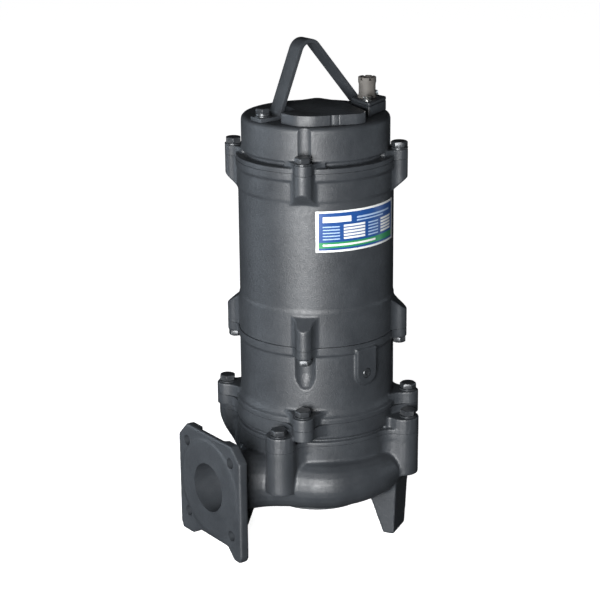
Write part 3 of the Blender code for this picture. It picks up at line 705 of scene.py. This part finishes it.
gland = cut_plate(GLAND_CORNERS, PLATE_LOW, PLATE_TOP, 5, 1.2)
gland.name = gland.data.name = "gland_casting"
finish_piece(gland, paint, 40)
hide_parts("gland_block")
clamp = cut_plate(GLAND_CORNERS, PLATE_TOP + 0.3, PLATE_TOP + 4.3, 5, 0.8)
clamp.name = clamp.data.name = "gland_clamp"
finish_piece(clamp, paint, 40)
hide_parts("gland_plate")

base = PLATE_TOP + 4.6
sleeve = turned([(11.9, base), (11.9, base + 2.0), (11.3, base + 2.8), (10.7, base + 5), (10.6, base + 16),
                 (11.0, base + 18.4), (11.4, base + 19.6), (11.4, base + 25.5), (10.9, base + 26),
                 (8.0, base + 26), (7.6, base + 25.6), (7.0, base + 10)], 72)
notches = []
for number in range(6):
    slot = block((7.6, -1.6, base + 22.6), (13.0, 1.6, base + 27))
    notches.append(turn_to(slot, 60 * number + 12))
machine(sleeve, notches)
sleeve.name = sleeve.data.name = "cable_sleeve_rubber"
sleeve.location = Vector((*SLEEVE_PLACE, 0)) * MM
bpy.ops.object.select_all(action="DESELECT")
sleeve.select_set(True)
bpy.context.view_layer.objects.active = sleeve
bpy.ops.object.transform_apply(location=True)
finish_piece(sleeve, sleeve_rubber(), 35)
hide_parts("cable_sleeve")

bright = bright_steel()
small_screw = join_all("screw_pattern", [bolt_head(9.4, 1.3, 4.4), flat_washer(5.7, 1.3)])
for side, spin in (("front", 14), ("rear", 40)):
    place = (*GLAND_SCREWS[side], PLATE_TOP + 4.6)
    piece = place_copy(small_screw, f"gland_screw_{side}_hex", place, spin, bright)
    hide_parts(f"gland_screw_{side}")

# Lifting handle: flat steel bar, bent cold to a lopsided peak with two flat feet, and painted. Each
# foot is held down by a hexagon bolt with a spring washer over a flat washer.
BAR_WIDTH, BAR_T = 22.0, 5.0
HANDLE_LINE = ((-91, 550.8), (-62, 550.8), (-20, 655), (68, 550.8), (91, 550.8))
HANDLE_BENDS = (0, 8, 15, 8, 0)
HANDLE_BOLTS = {"left": -80.5, "right": 82.0}


def bent_bar():
    """Draw the bar's end along each straight run, and spin it round each bend."""
    bpy.ops.object.select_all(action="DESELECT")
    bpy.ops.mesh.primitive_plane_add(
        size=1, rotation=(0, math.pi / 2, 0), location=Vector((HANDLE_LINE[0][0], 0, HANDLE_LINE[0][1])) * MM)
    item = bpy.context.object
    item.scale = (BAR_T * MM, BAR_WIDTH * MM, 1)
    bpy.ops.object.transform_apply(location=True, rotation=True, scale=True)
    start_edit(item)
    spent = 0.0
    for index in range(1, len(HANDLE_LINE)):
        last, here = Vector(HANDLE_LINE[index - 1]), Vector(HANDLE_LINE[index])
        along = (here - last).normalized()
        reach, turn = 0.0, 0.0
        if HANDLE_BENDS[index]:
            onward = (Vector(HANDLE_LINE[index + 1]) - here).normalized()
            turn = math.atan2(along.x * onward.y - along.y * onward.x, along.dot(onward))
            reach = HANDLE_BENDS[index] * math.tan(abs(turn) / 2)
        run = along * ((here - last).length - spent - reach) * MM
        bpy.ops.mesh.extrude_region_move(TRANSFORM_OT_translate={"value": (run.x, 0, run.y)})
        if HANDLE_BENDS[index]:
            side = Vector((-along.y, along.x)) * math.copysign(HANDLE_BENDS[index], turn)
            middle = (here - along * reach + side) * MM
            sweep(10, turn, (middle.x, 0, middle.y), (0, -1, 0))
        spent = reach
    end_edit()
    return item


bar = bent_bar()
machine(bar, [drill((x, 0, 550), 5.4, 20) for x in HANDLE_BOLTS.values()])
edge = bar.modifiers.new("rolled_edge", "BEVEL")
edge.width = 0.7 * MM
edge.segments = 3
edge.limit_method = "ANGLE"
edge.angle_limit = math.radians(50)
bpy.ops.object.modifier_apply(modifier=edge.name)
bar.name = bar.data.name = "lifting_bar"
finish_piece(bar, paint, 30)
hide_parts("lifting_handle")

spring = turned([(9.0, 1.9), (9.0, 4.3)], 48)
machine(spring, [turn_to(block((3, -0.6, 0), (12, 0.6, 6)), 250)])
foot_bolt = join_all("foot_bolt_pattern", [bolt_head(17.0, 4.5, 6.6), spring, flat_washer(10.3, 1.7)])
for side, spin in (("left", 21), ("right", 46)):
    place = (HANDLE_BOLTS[side], 0, 553.6)
    piece = place_copy(foot_bolt, f"handle_bolt_{side}_hex", place, spin, bolt_finish)
    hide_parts(f"handle_bolt_{side}")
for pattern in (bolt, frame_bolt, small_screw, foot_bolt):
    bpy.data.objects.remove(pattern, do_unlink=True)

# Data label: a printed film stuck round the motor frame, with a white edge, a blue field, ruled
# boxes and a green band. Its layout is a plain one of its own, with no words on it.
LABEL_LOW, LABEL_HIGH = 394.0, 446.0
LABEL_FIRST, LABEL_LAST = -127.0, -54.5


def label_film():
    """Spin the film's thin end round the frame, and unroll it flat for its print."""
    bpy.ops.object.select_all(action="DESELECT")
    bpy.ops.mesh.primitive_plane_add(
        size=1, rotation=(math.pi / 2, 0, 0), location=Vector((99.55, 0, (LABEL_LOW + LABEL_HIGH) / 2)) * MM)
    item = bpy.context.object
    item.scale = (0.7 * MM, (LABEL_HIGH - LABEL_LOW) * MM, 1)
    bpy.ops.object.transform_apply(location=True, rotation=True, scale=True)
    turn_to(item, LABEL_FIRST)
    start_edit(item)
    sweep(58, math.radians(LABEL_LAST - LABEL_FIRST), (0, 0, 0))
    end_edit()
    sheet = item.data.uv_layers[0]
    for loop in item.data.loops:
        place = item.data.vertices[loop.vertex_index].co / MM
        turn = math.degrees(math.atan2(place.y, place.x))
        sheet.data[loop.index].uv = ((turn - LABEL_FIRST) / (LABEL_LAST - LABEL_FIRST),
                                     (place.z - LABEL_LOW) / (LABEL_HIGH - LABEL_LOW))
    return item


def label_print():
    """Film printed in flat inks. Each box is its four sides and its ink, laid over the last."""
    made, tree, shader, coordinates = new_material("label_print")
    split = tree.nodes.new("ShaderNodeSeparateXYZ")
    tree.links.new(coordinates.outputs["UV"], split.inputs["Vector"])

    def between(axis, low, high):
        inside = tree.nodes.new("ShaderNodeMath")
        inside.operation = "COMPARE"
        inside.inputs[1].default_value = (low + high) / 2
        inside.inputs[2].default_value = (high - low) / 2
        tree.links.new(split.outputs[axis], inside.inputs[0])
        return inside.outputs["Value"]

    white, blue, green, pale = (0.62, 0.63, 0.62), (0.012, 0.055, 0.2), (0.02, 0.2, 0.07), (0.3, 0.4, 0.55)
    boxes = [(0.03, 0.97, 0.05, 0.95, blue), (0.03, 0.97, 0.10, 0.24, green),
             (0.07, 0.36, 0.72, 0.86, white), (0.42, 0.9, 0.78, 0.82, pale), (0.42, 0.78, 0.71, 0.74, pale)]
    for row in range(5):
        low = 0.30 + row * 0.075
        boxes += [(0.07, 0.24, low, low + 0.03, pale), (0.28, 0.52, low, low + 0.05, white)]
        boxes += [(0.56, 0.70, low, low + 0.03, pale), (0.74, 0.93, low, low + 0.05, white)]
    boxes += [(0.07, 0.66, 0.145, 0.195, white)]
    ink = None
    for left, right, low, high, colour in boxes:
        mask = tree.nodes.new("ShaderNodeMath")
        mask.operation = "MULTIPLY"
        tree.links.new(between("X", left, right), mask.inputs[0])
        tree.links.new(between("Y", low, high), mask.inputs[1])
        mix = tree.nodes.new("ShaderNodeMix")
        mix.data_type = "RGBA"
        mix.inputs["A"].default_value = (*white, 1)
        mix.inputs["B"].default_value = (*colour, 1)
        if ink:
            tree.links.new(ink, mix.inputs["A"])
        tree.links.new(mask.outputs["Value"], mix.inputs["Factor"])
        ink = mix.outputs["Result"]
    tree.links.new(ink, shader.inputs["Base Color"])
    ripple = noise(tree, coordinates, 60, 2.0)
    gloss = ramp(tree, ripple.outputs["Fac"], [(0.3, 0.3), (0.75, 0.42)])
    tree.links.new(gloss.outputs["Color"], shader.inputs["Roughness"])
    bumps(tree, shader, [(ripple.outputs["Fac"], 0.0002)])
    return made


film = label_film()
film.name = film.data.name = "label_film"
finish_piece(film, label_print(), 30)
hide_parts("label_plate")

# Studio: the pump stands on a pale floor under large soft lights, the strongest from the front left
# and high, with the camera a little above and to the left of the discharge side.
CAMERA_TURN, CAMERA_PITCH, CAMERA_ROLL = math.radians(-35.943), math.radians(17.414), math.radians(-0.493)
CAMERA_OFFSET = Vector((23.986, -288.17, -2407.826)) * MM


def soft_light(name, place, target, size, power, colour=(1, 1, 1)):
    bpy.ops.object.select_all(action="DESELECT")
    bpy.ops.object.light_add(type="AREA", location=place)
    light = bpy.context.object
    light.name = light.data.name = name
    light.data.shape = "RECTANGLE"
    light.data.size, light.data.size_y = size
    light.data.energy = power
    light.data.color = colour
    light.rotation_euler = (Vector(target) - Vector(place)).to_track_quat("-Z", "Y").to_euler()
    return light


def photo_camera():
    """Camera at the photograph's angle and distance."""
    cos_p = math.cos(CAMERA_PITCH)
    back = Vector((math.sin(CAMERA_TURN) * cos_p, -math.cos(CAMERA_TURN) * cos_p, math.sin(CAMERA_PITCH)))
    right = Vector((math.cos(CAMERA_TURN), math.sin(CAMERA_TURN), 0))
    up = back.cross(right)
    cos_r, sin_r = math.cos(CAMERA_ROLL), math.sin(CAMERA_ROLL)
    level, upright = right * cos_r + up * sin_r, up * cos_r - right * sin_r
    turn = Matrix((level, upright, back)).transposed()
    bpy.ops.object.camera_add()
    camera = bpy.context.object
    camera.matrix_world = Matrix.Translation(AXIS - turn @ CAMERA_OFFSET) @ turn.to_4x4()
    camera.data.sensor_width = 36
    camera.data.lens = 107.4
    camera.data.clip_end = 50
    return camera


def studio_world():
    """Near white behind the pump, and a dim even fill from all round it."""
    world = bpy.data.worlds.new("studio")
    world.use_nodes = True
    tree = world.node_tree
    backdrop = tree.nodes["Background"]
    backdrop.inputs["Color"].default_value = (1, 1, 1, 1)
    backdrop.inputs["Strength"].default_value = 1.0
    fill = tree.nodes.new("ShaderNodeBackground")
    fill.inputs["Color"].default_value = (0.93, 0.96, 1, 1)
    fill.inputs["Strength"].default_value = 0.02
    rays = tree.nodes.new("ShaderNodeLightPath")
    choose = tree.nodes.new("ShaderNodeMixShader")
    tree.links.new(rays.outputs["Is Camera Ray"], choose.inputs["Fac"])
    tree.links.new(fill.outputs["Background"], choose.inputs[1])
    tree.links.new(backdrop.outputs["Background"], choose.inputs[2])
    tree.links.new(choose.outputs["Shader"], tree.nodes["World Output"].inputs["Surface"])
    return world


bpy.ops.object.select_all(action="DESELECT")
bpy.ops.mesh.primitive_plane_add(size=14)
floor = bpy.context.object
floor.name = "floor"
floor_paint, tree, shader, coordinates = new_material("pale_floor")
dapple = noise(tree, coordinates, 3, 2.0)
tone = ramp(tree, dapple.outputs["Fac"], [(0.3, (0.8, 0.8, 0.8)), (0.75, (0.84, 0.84, 0.84))])
tree.links.new(tone.outputs["Color"], shader.inputs["Base Color"])
shader.inputs["Roughness"].default_value = 0.9
shader.inputs["Emission Color"].default_value = (1, 1, 1, 1)
shader.inputs["Emission Strength"].default_value = 0.93
floor.data.materials.append(floor_paint)
floor.visible_diffuse = False
floor.visible_glossy = False
soft_light("key", (-1.8, -1.38, 0.45), (0, 0, 0.32), (1.25, 1.4), 168)
soft_light("left_strip", (-1.9, 1.6, 0.5), (0, 0, 0.3), (0.8, 1.4), 19, (0.8, 0.9, 1))
soft_light("right_strip", (2.0, -0.9, 0.35), (0, 0, 0.3), (0.3, 1.2), 5, (0.8, 0.9, 1))
bpy.ops.object.light_add(type="SUN", location=(0, 0, 3))
overhead = bpy.context.object
overhead.data.energy = 0.14
overhead.data.angle = math.radians(60)
bpy.context.scene.world = studio_world()
bpy.context.scene.view_settings.view_transform = "Standard"
bpy.context.scene.camera = photo_camera()
